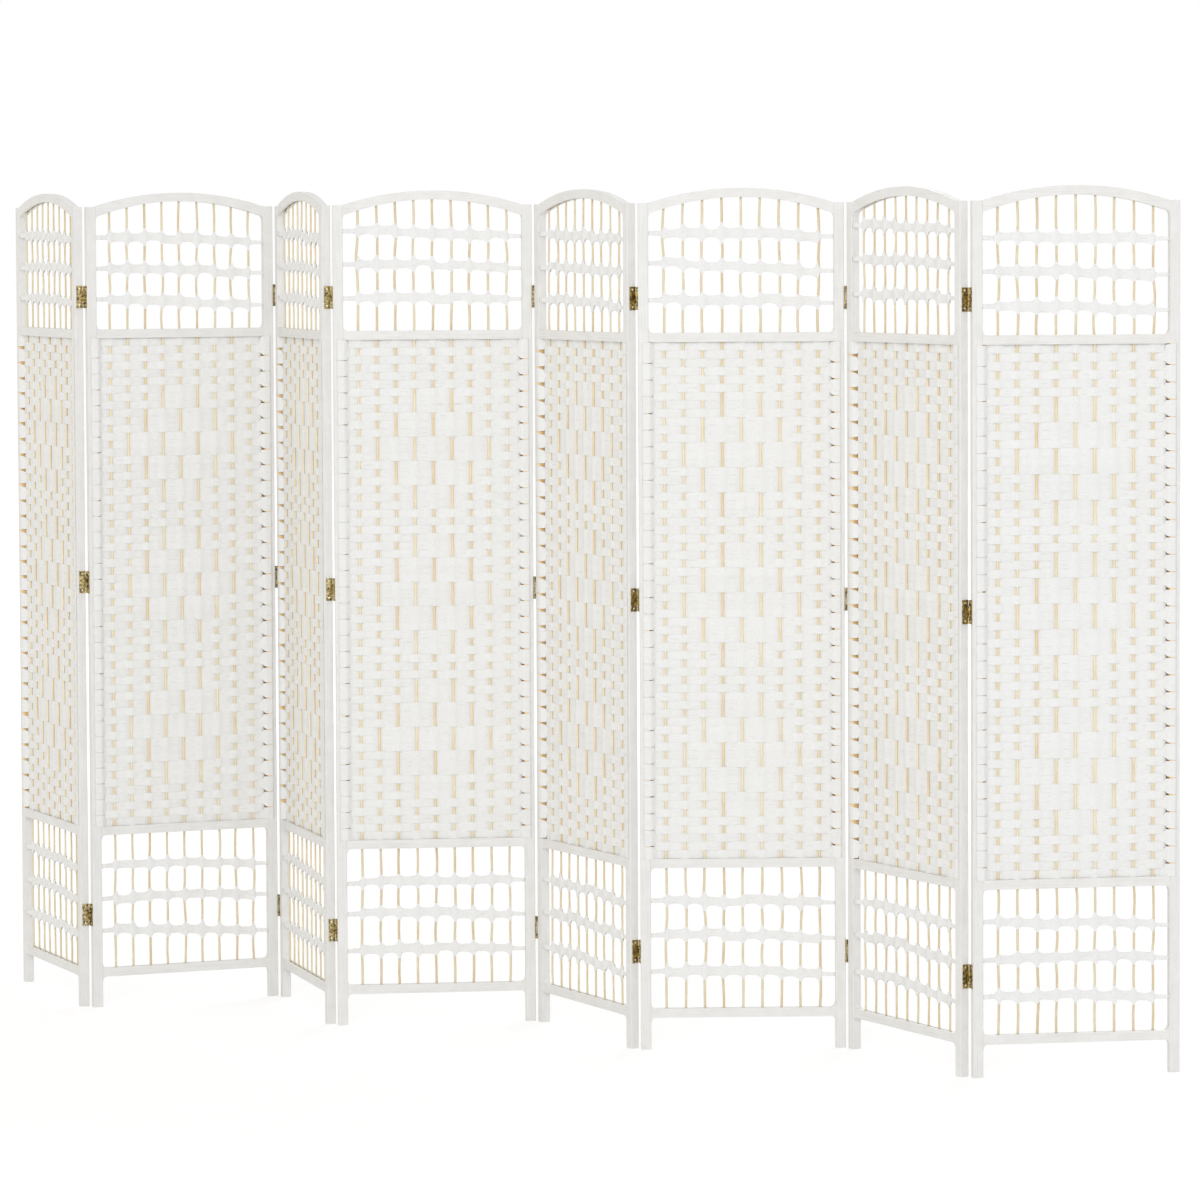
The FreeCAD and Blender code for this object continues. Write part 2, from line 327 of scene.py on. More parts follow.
def frame_paint(name, turn):
    """White paint brushed along the wood: faint streaks, a few bare pores, rubbed edges, a satin sheen."""
    made, tree, shader = material(name)
    place = turned_place(tree, turn)
    streak, patch = grain(tree, place, 1100.0, 0.012)
    tint = ramp(tree, streak, [(0.25, (0.70, 0.69, 0.665)), (0.48, (0.80, 0.795, 0.78)),
                               (0.75, (0.84, 0.838, 0.825))])
    cloud = ramp(tree, patch, [(0.3, (0.95, 0.945, 0.935)), (0.7, (1.0, 1.0, 1.0))])
    rubbed = worn(tree, place, multiplied(tree, tint, cloud), 0.0012, 90.0, 0.4, RUBBED_PAINT)
    tree.links.new(rubbed, shader.inputs["Base Color"])
    rough = add(tree, "ShaderNodeMapRange", {"To Min": 0.62, "To Max": 0.42}, Value=streak)
    tree.links.new(rough.outputs[0], shader.inputs["Roughness"])
    bump(tree, shader, streak, 0.0003, 0.5)
    return made


def panel_attribute(tree, name, output):
    """A piece's own attribute, as a socket."""
    node = tree.nodes.new("ShaderNodeAttribute")
    node.attribute_name = name
    return node.outputs[output]


def paper_strip():
    """Painted twisted paper: fibres and a few darker lines along the strip as painted shade in creases, soft
    crinkles across it, each strip a little different."""
    made, tree, shader = material("paper_strip")
    place = panel_attribute(tree, "panel_place", "Vector")
    tone = panel_attribute(tree, "tone", "Fac")
    streak, _ = grain(tree, place, 1500.0, 0.03)
    shift = add(tree, "ShaderNodeMath", {"operation": "MULTIPLY_ADD", 1: 0.14, 2: -0.06}, i0=tone)
    level = add(tree, "ShaderNodeMath", {"operation": "ADD"}, i0=streak, i1=shift.outputs[0])
    tint = ramp(tree, level.outputs[0], [(0.2, (0.765, 0.76, 0.745)), (0.5, (0.825, 0.825, 0.813)),
                                         (0.8, (0.86, 0.86, 0.852))])
    fold, _ = grain(tree, place, 800.0, 0.03)
    # Thin lines along the strip made darker: painted shade in the paper's creases.
    crease_shade = ramp(tree, fold, [(0.33, (0.84, 0.835, 0.82)), (0.39, (1.0, 1.0, 1.0))])
    tree.links.new(multiplied(tree, tint, crease_shade), shader.inputs["Base Color"])
    rough = add(tree, "ShaderNodeMapRange", {"To Min": 0.85, "To Max": 0.62}, Value=streak)
    tree.links.new(rough.outputs[0], shader.inputs["Roughness"])
    crinkle = add(tree, "ShaderNodeTexNoise", {"Scale": 160.0, "Detail": 2.0, "Distortion": 0.4},
                  Vector=place)
    height = add(tree, "ShaderNodeMath", {"operation": "MULTIPLY_ADD", 1: 1.6}, i0=crinkle.outputs["Fac"],
                 i2=streak)
    bump(tree, shader, height.outputs[0], 0.0006, 0.55)
    return made


# Painted shade on the rods in the open windows, where no mat covers them: how quickly it sets in and how dark
# it goes.
WINDOW_SHADE_EDGE = 0.005
WINDOW_ROD_SHADE = (0.885, 0.885, 0.885)


def bamboo():
    """Split bamboo: straw to tan, long dark fibres, each rod its own shade, darker where no mat covers it as
    painted shade on the rods in the open windows, satin skin."""
    made, tree, shader = material("bamboo")
    place = panel_attribute(tree, "panel_place", "Vector")
    tone = panel_attribute(tree, "tone", "Fac")
    parts = add(tree, "ShaderNodeSeparateXYZ", None, Vector=place)
    streak, patch = grain(tree, upright_place(tree, parts), 1400.0, 0.01)
    blend = add(tree, "ShaderNodeMath", {"operation": "MULTIPLY_ADD", 1: 0.4}, i0=tone, i2=patch)
    light = ramp(tree, blend.outputs[0], [(0.35, (0.785, 0.64, 0.395)), (0.7, (0.863, 0.744, 0.505)),
                                          (1.0, (0.905, 0.832, 0.624))])
    dark = ramp(tree, streak, [(0.3, (0.82, 0.74, 0.64)), (0.6, (1.0, 1.0, 1.0))])
    above = add(tree, "ShaderNodeMath", {"operation": "SUBTRACT", 1: (MAT_BASE + MAT_TOP) / 2},
                i0=parts.outputs["Z"])
    away = add(tree, "ShaderNodeMath", {"operation": "ABSOLUTE"}, i0=above.outputs[0])
    covered = (MAT_TOP - MAT_BASE) / 2
    # Darker above and below the mat: painted shade on the rods in the open windows.
    window_shade = ramp(tree, away.outputs[0], [(covered - WINDOW_SHADE_EDGE, (1.0, 1.0, 1.0)), (covered + WINDOW_SHADE_EDGE, WINDOW_ROD_SHADE)])
    tree.links.new(multiplied(tree, multiplied(tree, light, dark, 0.8), window_shade), shader.inputs["Base Color"])
    rough = add(tree, "ShaderNodeMapRange", {"To Min": 0.55, "To Max": 0.38}, Value=streak)
    tree.links.new(rough.outputs[0], shader.inputs["Roughness"])
    bump(tree, shader, streak, 0.0002, 0.5)
    return made


def bare_wood():
    """Unpainted stile wood in the gaps between the turned strips: orange-brown with long grain."""
    made, tree, shader = material("bare_wood")
    place = panel_attribute(tree, "panel_place", "Vector")
    parts = add(tree, "ShaderNodeSeparateXYZ", None, Vector=place)
    streak, _ = grain(tree, upright_place(tree, parts), 700.0, 0.02)
    tint = ramp(tree, streak, [(0.3, (0.92, 0.61, 0.27)), (0.7, (0.98, 0.75, 0.42))])
    tree.links.new(tint, shader.inputs["Base Color"])
    shader.inputs["Roughness"].default_value = 0.75
    bump(tree, shader, streak, 0.0003, 0.5)
    return made


def metal(name, dark, light, fineness, rough_low, rough_high):
    """Plated metal: brushed streaks, patches between a dark and a light colour, edges lighter. On the brass
    plates the dark colour is painted reflection of dark surroundings and the light patches are painted
    highlights; the lighter edges are partly rubbed brass, partly painted highlight.
    """
    made, tree, shader = material(name)
    place = add(tree, "ShaderNodeTexCoord")
    parts = add(tree, "ShaderNodeSeparateXYZ", None, Vector=place.outputs["Object"])
    streak, _ = grain(tree, upright_place(tree, parts), fineness, 0.1)
    spots = add(tree, "ShaderNodeTexNoise", {"Scale": 210.0, "Detail": 3.0}, Vector=place.outputs["Object"])
    level = add(tree, "ShaderNodeMath", {"operation": "MULTIPLY_ADD", 1: 0.5}, i0=streak,
                i2=spots.outputs["Fac"])
    # Between the dark and the light colour: on the brass plates this is painted reflection and painted
    # highlight.
    tint = ramp(tree, level.outputs[0], [(0.60, dark), (0.90, light)])
    # Lighter edges: partly rubbed brass, partly painted highlight.
    rubbed = worn(tree, place.outputs["Object"], tint, 0.0006, 300.0, 0.8, RUBBED_BRASS_AND_HIGHLIGHT)
    tree.links.new(rubbed, shader.inputs["Base Color"])
    shader.inputs["Metallic"].default_value = 1.0
    rough = add(tree, "ShaderNodeMapRange", {"To Min": rough_high, "To Max": rough_low},
                Value=spots.outputs["Fac"])
    tree.links.new(rough.outputs[0], shader.inputs["Roughness"])
    bump(tree, shader, streak, 0.0001, 0.4)
    return made


STILE_PAINT = frame_paint("frame_paint_upright", (0.0, math.radians(90), 0.0))
PAPER = paper_strip()
BAMBOO = bamboo()
BARE_WOOD = bare_wood()
# The plate's near-black colour is painted reflection of dark surroundings; its light colour gives painted
# highlights.
BRASS = metal("brass_plate", (0.085, 0.068, 0.030), (0.66, 0.53, 0.26), 900.0, 0.16, 0.38)
SCREW_BRASS = metal("brass_screw", (0.62, 0.54, 0.34), (0.88, 0.82, 0.64), 700.0, 0.15, 0.3)
PIN_STEEL = metal("steel_pin", (0.36, 0.30, 0.18), (0.62, 0.54, 0.36), 700.0, 0.25, 0.4)


def dress_frame(number):
    """Paint and plate the panel's own frame pieces."""
    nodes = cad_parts
    turn = (0.0, 0.0, -PLACES[number]["heading"])
    dressed = {"stiles": STILE_PAINT, "rails": frame_paint(f"frame_paint_rails_{number}", turn),
               "hinge_leaves": BRASS, "hinge_pins": PIN_STEEL}
    for kind, made in dressed.items():
        obj = nodes.get(f"{kind}_{number}")
        if obj is not None:
            obj.data.materials.clear()
            obj.data.materials.append(made)


# Hinge screws

HEAD_SIDES = 12
HEAD_RISE = 0.0006
HEAD_STEPS = np.radians([0.0, 30.0, 60.0, 84.0])


def screw_heads(number):
    """Middle, outward way and half width of each screw's flush head, found from the frame's own screws."""
    points = to_panel(PLACES[number], node_points(f"hinge_screws_{number}"))
    heads = []
    for out in (-1.0, 1.0):
        end = points[points[:, 0] * out > PANEL_WIDTH / 2 * out]
        if not len(end):
            continue
        flat = end[np.abs(end[:, 0] * out - (end[:, 0] * out).max()) < 1e-4]
        flat = flat[np.argsort(flat[:, 2])]
        for rim in np.split(flat, np.nonzero(np.diff(flat[:, 2]) > 0.006)[0] + 1):
            low, high = rim.min(axis=0), rim.max(axis=0)
            heads.append(((low + high) / 2, out, (high[2] - low[2]) / 2))
    return heads


def make_screws(number):
    """Domed heads on the hinge leaves: rings of an ellipse that rises from each flush head."""
    rings = []
    for middle, out, half in screw_heads(number):
        angle = out * 2 * np.pi * np.arange(HEAD_SIDES) / HEAD_SIDES
        reach = half * np.cos(HEAD_STEPS)[:, None]
        x = middle[0] + out * HEAD_RISE * np.sin(HEAD_STEPS)[:, None] + 0 * angle
        y = middle[1] + reach * np.cos(angle)
        z = middle[2] + reach * np.sin(angle)
        rings.append(np.stack([x, y, z], axis=-1))
    made = piece(f"screw_heads_{number}", number, np.stack(rings),
                 tube_faces(len(HEAD_STEPS), HEAD_SIDES, len(rings)), 0.5, SCREW_BRASS)
    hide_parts(f"hinge_screws_{number}")


# Rods

ROD_SIDES = 12
ROD_FLATNESS = 0.75  # depth as a share of width
ROD_DEPTH = ROD_FLATNESS * ROD_RADIUS
BEND = 0.0014  # usual sideways move at a band
BOW = 0.0008  # usual bow between bands
GIRTH_UNEVEN = 0.03
RUN_STEPS = 5  # rings in each run from band to band


def rod_points(bands):
    """Upright tubes of split bamboo, an ellipse in section, wider than deep. The centre line runs straight
    through the rails and mat and leans from band to band in the windows: sideways moves at the bands joined
    by straight runs, plus a shallow bow, a squared sine."""
    fixed = [ROD_BASE[0], MAT_BASE, MAT_TOP, ROD_TOP.max()]
    stops = np.sort(np.concatenate([fixed, bands]))
    held = np.isin(stops, fixed)
    share = np.arange(RUN_STEPS * (len(stops) - 1) + 1) / RUN_STEPS
    along = np.interp(share, np.arange(len(stops)), stops)
    moves = rng.normal(0.0, BEND, (ROD_COUNT, len(stops))) * ~held
    bows = rng.normal(0.0, BOW, (ROD_COUNT, len(stops)))
    bows[:, stops == MAT_BASE] = 0.0
    lean = np.stack([np.interp(share, np.arange(len(stops)), row) for row in moves])
    lean += bows[:, np.minimum(share.astype(int), len(stops) - 1)] * np.sin(np.pi * share)[None] ** 2
    above = np.clip(along - MAT_TOP, 0, None)[None]
    shorter = (ROD_TOP - MAT_TOP)[:, None] / (ROD_TOP.max() - MAT_TOP)
    height = np.minimum(along, MAT_TOP)[None] + above * shorter
    angle = 2 * np.pi * np.arange(ROD_SIDES) / ROD_SIDES
    girth = ROD_RADIUS * (1 + rng.normal(0.0, GIRTH_UNEVEN, (ROD_COUNT, 1, 1)))
    x = ROD_X[:, None, None] + lean[..., None] + girth * np.cos(angle)
    y = ROD_FLATNESS * girth * np.sin(angle) + np.zeros_like(lean)[..., None]
    z = np.broadcast_to(height[..., None], x.shape)
    return np.stack([x, y, z], axis=-1)


def make_rods(number):
    """The panel's rods, in place of the straight ones."""
    points = rod_points(band_levels(number))
    rings = points.shape[1]
    tone = np.repeat(rng.random(ROD_COUNT), rings * ROD_SIDES)
    made = piece(f"bamboo_rods_{number}", number, points, tube_faces(rings, ROD_SIDES, ROD_COUNT), tone,
                 BAMBOO)
    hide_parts(f"rods_{number}")


# Mat. In a pair of values the first is for even panels and the second for odd ones.

FACE_LIFT = 0.0006  # from a stile's face to the middle of the strip on it
BUMP_REACH = 0.0125  # half the length of a strip's bulge round a rod
TURN_REACH = (0.015, 0.010)  # way in which a strip from a stile's front reaches the middle plane
BACK_REACH = (0.0055, 0.0090)  # the same for a strip from its back
STEP_ASIDE = 0.0009  # how far a strip goes past the middle plane before the first rod
ROW_UNEVEN = 0.00005
STRIP_COVER = 0.4995  # half a strip's height as a share of a row
BUMP_COVER = 0.025  # what is added to that share at a bulge
WIDEST_SPREAD = 0.99
OPEN_SPREAD = (0.06, 0.16)  # how unevenly strips are spread on a stile

# Spread of a strip's edge towards the next strip: distances in from a stile's inner side, as shares of the
# strip's length on the stile, and the spread at each.
STRAIGHT_EDGE = ((-1.0, 0.0, 0.55, 0.8), (0.99, 0.98, 0.95, 0.0))
OPEN_LEFT_EDGE = ((-1.0, -0.6, 0.0, 0.3, 0.7), (0.99, 0.86, 0.62, 0.5, 0.1))
OPEN_RIGHT_EDGE = ((-1.0, -0.7, 0.0, 0.3, 0.7), (0.99, 0.86, 0.80, 0.78, 0.1))


def weave_sides(flipped):
    """+1 where a row passes behind a rod and shows it, -1 where it passes in front. Plain weave changes with
    row plus rod. In each diamond every third row is reversed round the middle rod."""
    row = np.arange(ROW_COUNT)[:, None]
    rod_index = np.arange(ROD_COUNT)[None]
    side = np.where((row + rod_index + flipped) % 2 == 1, 1.0, -1.0)
    middle = ROD_COUNT // 2
    for first in range(FIRST_TURNED - flipped, ROW_COUNT - 3 * len(DIAMOND_REACH) + 3, DIAMOND_ROWS):
        for step, reach in enumerate(DIAMOND_REACH):
            side[first + 3 * step, middle - reach:middle + reach + 1] *= -1
    return side


def mat_stations(turn_reach):
    """Places across the panel where a strip's section is drawn, closer together at the stiles and rods."""
    turn = turn_reach * np.array([0.07, 0.15, 0.25, 0.35, 0.5, 0.7, 1.0])
    lead = np.linspace(turn_reach, ROD_X[0] - BUMP_REACH - INNER_LEFT, 4)[1:-1]
    left = INNER_LEFT + np.concatenate([WRAP_REACH * np.array([-1.0, -0.7, -0.3, -0.04]), turn, lead])
    near = BUMP_REACH * np.array([-1.0, -0.66, -0.33, 0.0, 0.33, 0.66, 1.0])
    rods = (ROD_X[:, None] + near).ravel()
    between = (ROD_X[1:] + ROD_X[:-1]) / 2
    return np.sort(np.concatenate([left, rods, between, PANEL_WIDTH - left]))


SECTION_HIGH = (-0.985, 0.985, 1.0, 0.985, -0.985, -1.0)
SECTION_DEEP = (1.0, 1.0, 0.0, -1.0, -1.0, 0.0)
FLAT_CORNERS = (0, 1, 3, 4)


def flat_section(x, y, z, rise, fall, thick):
    """Corners of flat strips with thin edges, along x at depth y and height z, reaching up by rise and down
    by fall."""
    points = np.empty((*y.shape, 6, 3))
    points[..., 0] = np.broadcast_to(x, y.shape)[..., None]
    for corner, (high, deep) in enumerate(zip(SECTION_HIGH, SECTION_DEEP)):
        points[..., corner, 1] = y + deep * thick
        points[..., corner, 2] = z + high * (rise if high > 0 else fall)
    return points


def edge_share(inward, edge):
    """How far a strip's edge is spread towards the next strip, along its way in from the stile."""
    return np.interp(inward / WRAP_REACH, *edge)


def rod_bulge(x):
    """For each rod, how far a strip at each place bulges round it: a squared parabola of the distance."""
    near = np.clip((x[None] - ROD_X[:, None]) / BUMP_REACH, -1, 1)
    return (1 - near ** 2) ** 2


def mat_points(flipped):
    """Strips that run across the panel, all in its middle plane between the rods. At each rod a strip bulges
    to the front or the back by a squared parabola of the distance. At a stile it eases round the inner
    corner from the front or back face, where it is spread to meet the next strip on that face. The section
    is flat with thin edges."""
    turn_reach = TURN_REACH[flipped]
    x = mat_stations(turn_reach)
    side = weave_sides(flipped)
    face = HALF_STILE + FACE_LIFT
    over = ROD_DEPTH + STRIP_LIFT
    bulge = rod_bulge(x)
    y = over * side @ bulge + rng.normal(0.0, ROW_UNEVEN, (ROW_COUNT, 1))
    first_gap = ROD_X[0] - INNER_LEFT
    inward = np.minimum(x - INNER_LEFT, INNER_RIGHT - x)
    on_left = x < PANEL_WIDTH / 2
    first_side = np.where(on_left, side[:, :1], side[:, -1:])
    leave = smooth(inward / np.where(first_side < 0, BACK_REACH[flipped], turn_reach))
    level = smooth((inward - first_gap + BUMP_REACH) / BUMP_REACH)
    ending = -face + (face + STEP_ASIDE) * leave - STEP_ASIDE * level
    y += first_side * ending
    middle = MAT_TOP - ROW_PITCH * (np.arange(ROW_COUNT) + 0.5)
    spread_up = np.where(on_left, edge_share(inward, OPEN_LEFT_EDGE if flipped else STRAIGHT_EDGE),
                         edge_share(inward, STRAIGHT_EDGE))
    spread_down = np.where(on_left, edge_share(inward, STRAIGHT_EDGE),
                           edge_share(inward, STRAIGHT_EDGE if flipped else OPEN_RIGHT_EDGE))
    free = (inward > -0.5 * WRAP_REACH) & (inward < turn_reach)
    slack = 1 + rng.normal(0.0, OPEN_SPREAD[flipped], (ROW_COUNT, 2, 1)) * free
    upper = np.where(np.arange(ROW_COUNT) < 2, MAT_TOP - middle - ROW_PITCH / 2, ROW_PITCH / 2)
    lower = np.where(np.arange(ROW_COUNT) > ROW_COUNT - 3, middle - MAT_BASE - ROW_PITCH / 2, ROW_PITCH / 2)
    cover = ROW_PITCH * (STRIP_COVER + BUMP_COVER * bulge.sum(axis=0))
    rise = cover + upper[:, None] * np.minimum(spread_up * slack[:, 0], WIDEST_SPREAD)
    fall = cover + lower[:, None] * np.minimum(spread_down * slack[:, 1], WIDEST_SPREAD)
    thick = np.interp(inward, [-WRAP_REACH, -0.8 * WRAP_REACH], [0.4, 1.0]) * STRIP_HALF
    points = flat_section(x, y, middle[:, None], rise, fall, thick)
    points[..., 2] = np.clip(points[..., 2], MAT_BASE, MAT_TOP)
    return points


def make_mat(number):
    """The panel's woven strips, in place of the plain mat and bands."""
    points = mat_points(number % 2)
    rings = points.shape[1]
    tone = np.repeat(rng.random(ROW_COUNT), rings * 6)
    made = piece(f"woven_strips_{number}", number, points, tube_faces(rings, 6, ROW_COUNT), tone, PAPER,
                 sharp_lines=FLAT_CORNERS)
    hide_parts(f"weave_{number}")


LINING_LIFT = 0.00015  # how far the bare wood stands proud of the stile
LINING_REACH = 0.7  # share of the strips' length on the stile
STILE_EASE = 0.0012  # flat on its corners


def make_lining(number):
    """Bare wood under the turned strips: an upright bar just proud of each stile's inner part."""
    reach = WRAP_REACH * LINING_REACH
    edge = INNER_LEFT + LINING_LIFT
    face = HALF_STILE + LINING_LIFT
    left = np.array([[INNER_LEFT - reach, -face], [edge - STILE_EASE, -face], [edge, STILE_EASE - face],
                     [edge, face - STILE_EASE], [edge - STILE_EASE, face], [INNER_LEFT - reach, face]])
    right = np.stack([PANEL_WIDTH - left[::-1, 0], left[::-1, 1]], axis=-1)
    height = np.linspace(MAT_BASE, MAT_TOP, 9)
    points = np.empty((2, len(height), 6, 3))
    for index, outline in enumerate((left, right)):
        points[index, :, :, :2] = outline
    points[..., 2] = height[None, :, None]
    piece(f"bare_stile_edge_{number}", number, points, tube_faces(len(height), 6, 2), 0.5, BARE_WOOD,
          smooth_faces=False)


# Twined bands

BAND_MID = 0.0080  # half a band's height between rods
BAND_FLARE = 0.0170  # half its height along a rod
END_SHARE = 0.85  # share of that at the first and last rods
END_STEEPNESS = 5  # how quickly it draws in outside them
ROPE_HALF = 0.0046  # half the rope's height at the left stile
RIGHT_ROPE = 0.85  # share of that at the right stile
ROPE_TAPER = 0.2  # how much thicker the rope is at the rod
ROPE_TURNS = 1.0
ROPE_FRONT = 0.75  # how far forward the rope meets the stile, as a share of half the stile's depth
STRAND_SHARE = 0.85  # one strand's share of the band's height
STRAND_HALF = 0.0006  # half a strand's thickness
BACK_NARROW = 0.55  # how much less a strand spreads behind a rod
CELL_STATIONS = np.array([0.0, 0.068, 0.08, 0.105, 0.145, 0.20, 0.28, 0.38, 0.5])
CORNER_POWER = 2.3
BAND_FALL = 0.008  # usual fall from the first rod to the last
FALL_UNEVEN = 0.003
BAND_BOW = 0.003
BAND_SWAY = 0.0010
CELL_SHIFT = 0.0016
FLARE_UNEVEN = 0.12
MID_UNEVEN = 0.10
EDGE_UNEVEN = 0.02


def band_stations():
    """Places across the panel where a strand's section is drawn, closest together beside the rods."""
    cell = np.concatenate([CELL_STATIONS, 1 - CELL_STATIONS[-2:0:-1]])
    cells = (ROD_X[:-1, None] + ROD_PITCH * cell).ravel()
    lead = INNER_LEFT + (ROD_X[0] - INNER_LEFT) * np.array([0.0, 0.2, 0.4, 0.55, 0.68, 0.78, 0.86, 0.92])
    return np.concatenate([lead, cells, ROD_X[-1:], PANEL_WIDTH - lead[::-1]])


def band_points(level):
    """Two flat strands that turn round each other half a turn from rod to rod, so that each rod has one in
    front and one behind. At a rod a strand spreads along the rod, less where it is behind. Between rods it
    draws in along an arc, the root of one less a power of the distance from the cell's middle. Outside the
    last rods both narrow to a thin rope that runs to the front of the stile's inner side."""
    x = band_stations()
    cell = (x - ROD_X[0]) / ROD_PITCH
    outer = (x < ROD_X[0]) | (x > ROD_X[-1])
    away = np.clip(np.maximum(ROD_X[0] - x, x - ROD_X[-1]), 0, None) / (ROD_X[0] - INNER_LEFT)
    off_middle = np.abs(2 * (cell - np.floor(cell)) - 1) / (1 - 2 * ROD_RADIUS / ROD_PITCH)
    spread = 1 - np.sqrt(1 - np.clip(off_middle, 0, 1) ** CORNER_POWER)
    spread = np.where(outer, np.clip(1 - END_STEEPNESS * away, 0, 1) ** 2, spread)
    turn = np.pi * cell + np.sign(cell) * 2 * np.pi * ROPE_TURNS * away
    rods = np.arange(ROD_COUNT)
    ends = np.where((rods == 0) | (rods == ROD_COUNT - 1), END_SHARE, 1.0)
    sway = np.cumsum(rng.normal(0.0, BAND_SWAY, ROD_COUNT))
    across = rods / (ROD_COUNT - 1) - 0.5
    drift = rng.normal(-BAND_FALL, FALL_UNEVEN) * across + BAND_BOW * (1 - 4 * across ** 2)
    centre = level + np.interp(cell, rods, sway - sway.mean() + drift - drift.mean())
    which = np.clip(np.floor(cell).astype(int), 0, ROD_COUNT - 2)
    centre += rng.normal(0.0, CELL_SHIFT, ROD_COUNT - 1)[which] * (1 - spread) * ~outer
    flare = np.interp(cell, rods, BAND_FLARE * ends * (1 + rng.normal(0.0, FLARE_UNEVEN, ROD_COUNT)))
    drawn = BAND_MID * (1 + rng.normal(0.0, MID_UNEVEN, ROD_COUNT - 1))[which]
    rope = ROPE_HALF * (1 + ROPE_TAPER * (1 - away)) * np.where(cell < 0, 1.0, RIGHT_ROPE)
    drawn = np.where(outer, rope + (drawn - rope) * spread, drawn)
    forward = -ROPE_FRONT * HALF_STILE * smooth(away)
    bulge = rod_bulge(x).sum(axis=0)
    strands = []
    for start in (0.0, np.pi):
        lift = (1 - STRAND_SHARE) * drawn * np.sin(turn + start) * (1 - spread)
        y = forward - (ROD_DEPTH * bulge + STRAND_HALF) * np.cos(turn + start)
        seen = 1 - BACK_NARROW * (1 - np.cos(turn + start)) / 2
        half = STRAND_SHARE * drawn + (flare - STRAND_SHARE * drawn) * spread * seen
        rise = half * (1 + rng.normal(0.0, EDGE_UNEVEN, len(x)))
        fall = half * (1 + rng.normal(0.0, EDGE_UNEVEN, len(x)))
        strands.append(flat_section(x, y, centre + lift, rise, fall, STRAND_HALF))
    return np.stack(strands)


def make_bands(number):
    """All the panel's twined bands as one piece of separate strands."""
    points = np.concatenate([band_points(level) for level in band_levels(number)])
    count, rings = points.shape[:2]
    tone = np.repeat(rng.random(count), rings * 6)
    made = piece(f"twined_bands_{number}", number, points, tube_faces(rings, 6, count), tone, PAPER,
                 sharp_lines=FLAT_CORNERS)
    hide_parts(f"weave_{number}")


for panel_number in PANELS:
    dress_frame(panel_number)
    make_screws(panel_number)
    make_rods(panel_number)
    make_mat(panel_number)
    make_lining(panel_number)
    make_bands(panel_number)


# Floor, light and camera

FLOOR_SIZE = 40.0
FLOOR_PALE = (0.85, 0.85, 0.85, 1)
FLOOR_SEEN = (0.45, 0.45, 0.45, 1)
FLOOR_GLOW = {"From Min": 2.5, "From Max": 7.0, "To Min": 0.59, "To Max": 0.72}
WHITE = (1, 1, 1, 1)


def seen_ray(tree):
    """1 for rays that show the surroundings: to the camera, in a reflection or through something clear."""
    path = tree.nodes.new("ShaderNodeLightPath")
    first = add(tree, "ShaderNodeMath", {"operation": "MAXIMUM"}, i0=path.outputs["Is Camera Ray"],
                i1=path.outputs["Is Glossy Ray"])
    both = add(tree, "ShaderNodeMath", {"operation": "MAXIMUM"}, i0=first.outputs[0],
               i1=path.outputs["Is Transmission Ray"])
    return both.outputs[0]


def make_floor():
    """A wide pale floor that reads as white, a little more so far off, and keeps a soft shadow."""
    mesh = bpy.data.meshes.new("studio_floor")
    s = FLOOR_SIZE / 2
    mesh.from_pydata([(-s, -s, 0), (s, -s, 0), (s, s, 0), (-s, s, 0)], [], [(0, 1, 2, 3)])
    floor = bpy.data.objects.new("studio_floor", mesh)
    bpy.context.scene.collection.objects.link(floor)
    made = bpy.data.materials.new("studio_floor")
    made.use_nodes = True
    tree = made.node_tree
    tree.nodes.clear()
    out = tree.nodes.new("ShaderNodeOutputMaterial")
    cloth = add(tree, "ShaderNodeBsdfDiffuse", {"Color": FLOOR_PALE})
    seen = add(tree, "ShaderNodeBsdfDiffuse", {"Color": FLOOR_SEEN})
    place = add(tree, "ShaderNodeTexCoord")
    away = add(tree, "ShaderNodeVectorMath", {"operation": "LENGTH"}, i0=place.outputs["Object"])
    level = add(tree, "ShaderNodeMapRange", FLOOR_GLOW, Value=away.outputs["Value"])
    glow = add(tree, "ShaderNodeEmission", {"Color": WHITE}, Strength=level.outputs[0])
    white = tree.nodes.new("ShaderNodeAddShader")
    tree.links.new(seen.outputs[0], white.inputs[0])
    tree.links.new(glow.outputs[0], white.inputs[1])
    both = tree.nodes.new("ShaderNodeMixShader")
    tree.links.new(seen_ray(tree), both.inputs[0])
    tree.links.new(cloth.outputs[0], both.inputs[1])
    tree.links.new(white.outputs[0], both.inputs[2])
    tree.links.new(both.outputs[0], out.inputs["Surface"])
    mesh.materials.append(made)


def make_world():
    """White surroundings: full white to the camera, a plain soft level as light."""
    world = bpy.data.worlds.new("studio")
    bpy.context.scene.world = world
    world.use_nodes = True
    tree = world.node_tree
    back = tree.nodes["Background"]
    back.inputs["Color"].default_value = WHITE
    level = add(tree, "ShaderNodeMapRange", {"To Min": 0.775, "To Max": 1.0}, Value=seen_ray(tree))
    tree.links.new(level.outputs[0], back.inputs["Strength"])


def make_lamp(name, place, target, size, power, colour):
    """A soft square lamp at place, turned to its target."""
    data = bpy.data.lights.new(name, "AREA")
    data.shape = "SQUARE"
    data.size = size
    data.energy = power
    data.color = colour
    lamp = bpy.data.objects.new(name, data)
    way = Vector(target) - Vector(place)
    lamp.matrix_world = Matrix.Translation(place) @ way.to_track_quat("-Z", "Y").to_matrix().to_4x4()
    bpy.context.scene.collection.objects.link(lamp)


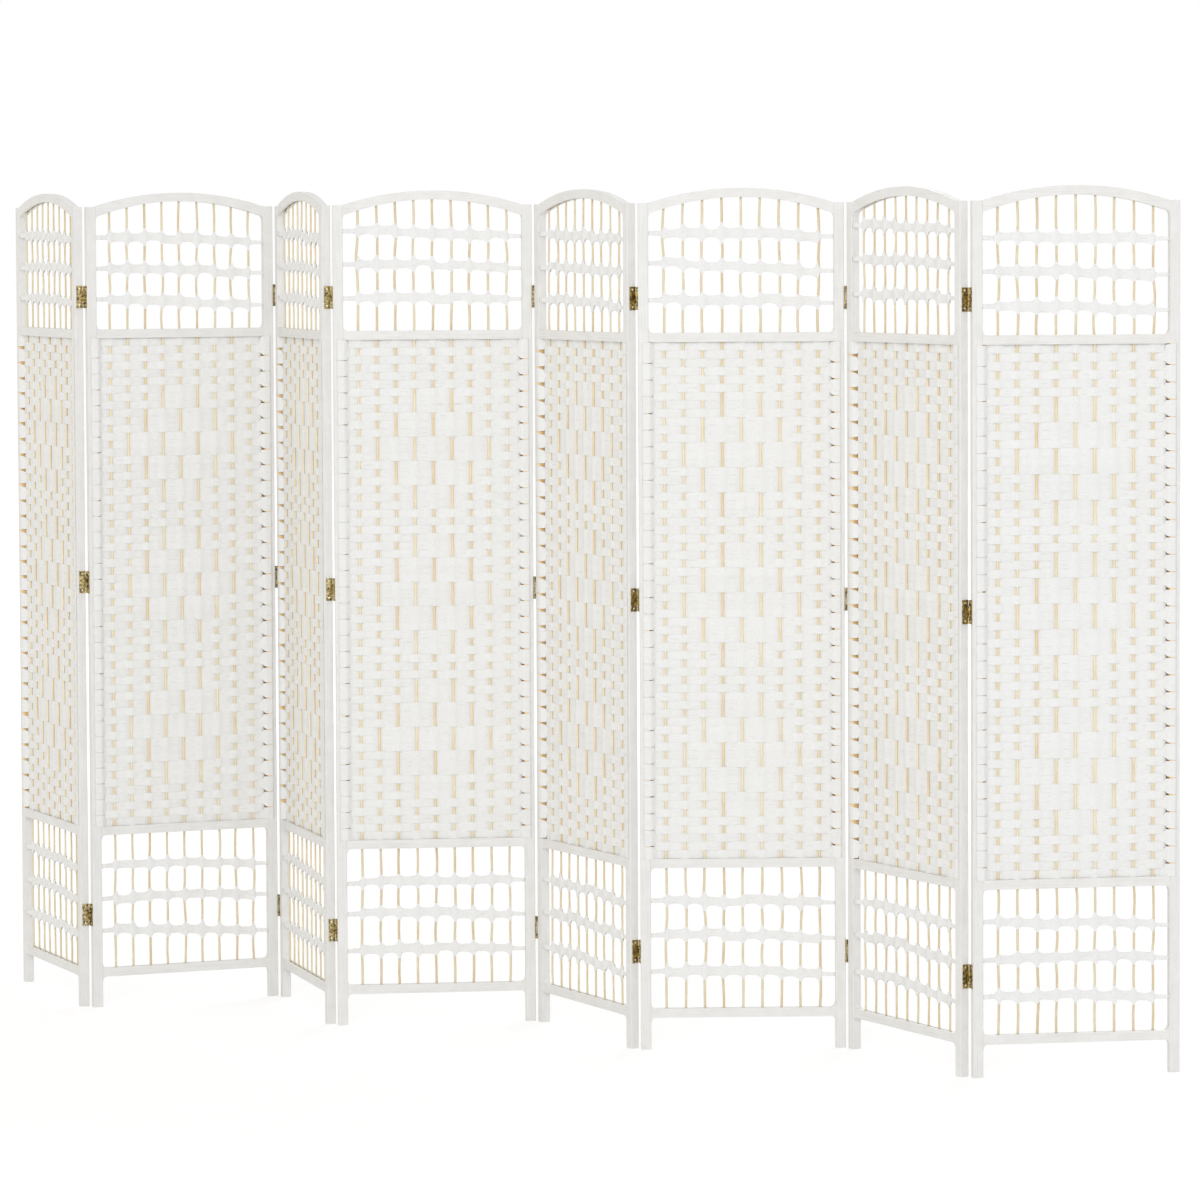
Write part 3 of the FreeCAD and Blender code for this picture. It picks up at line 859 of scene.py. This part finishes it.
CAMERA_PLACE = (4.9116, -8.9930, 1.6286)
CAMERA_YAW = math.radians(28.0009)
CAMERA_PITCH = math.radians(-2.8695)
CAMERA_ROLL = math.radians(-0.2723)
FOCAL_PIXELS = 5089.6
IMAGE_PIXELS = 1200
SHIFT_PIXELS = 120


def make_camera():
    """The photograph's camera: a long lens a little above the screen's middle, to the right of its front."""
    data = bpy.data.cameras.new("photo_camera")
    data.sensor_width = 36.0
    data.lens = FOCAL_PIXELS / IMAGE_PIXELS * data.sensor_width
    data.shift_y = -SHIFT_PIXELS / IMAGE_PIXELS
    data.clip_end = 200.0
    ahead = Vector((-math.sin(CAMERA_YAW) * math.cos(CAMERA_PITCH),
                    math.cos(CAMERA_YAW) * math.cos(CAMERA_PITCH), math.sin(CAMERA_PITCH)))
    right = Vector((math.cos(CAMERA_YAW), math.sin(CAMERA_YAW), 0.0))
    up = right.cross(ahead)
    tilted_right = right * math.cos(CAMERA_ROLL) + up * math.sin(CAMERA_ROLL)
    tilted_up = up * math.cos(CAMERA_ROLL) - right * math.sin(CAMERA_ROLL)
    camera = bpy.data.objects.new("photo_camera", data)
    camera.matrix_world = Matrix((
        (tilted_right.x, tilted_up.x, -ahead.x, CAMERA_PLACE[0]),
        (tilted_right.y, tilted_up.y, -ahead.y, CAMERA_PLACE[1]),
        (tilted_right.z, tilted_up.z, -ahead.z, CAMERA_PLACE[2]),
        (0.0, 0.0, 0.0, 1.0),
    ))
    bpy.context.scene.collection.objects.link(camera)
    bpy.context.scene.camera = camera


make_floor()
make_world()
make_lamp("key_lamp", (5.0, -12.0, 5.5), (-0.2, 0, 0.9), 6.0, 545.0, (1.0, 1.0, 1.0))
make_lamp("fill_lamp", (-8.0, -5.0, 3.0), (0, 0, 0.9), 4.0, 45.0, (1.0, 0.77, 0.32))
make_lamp("back_lamp", (-1.0, 11.0, 5.0), (0, 0, 0.9), 6.0, 380.0, (1.0, 1.0, 1.0))
make_camera()
bpy.context.scene.view_settings.view_transform = "Standard"
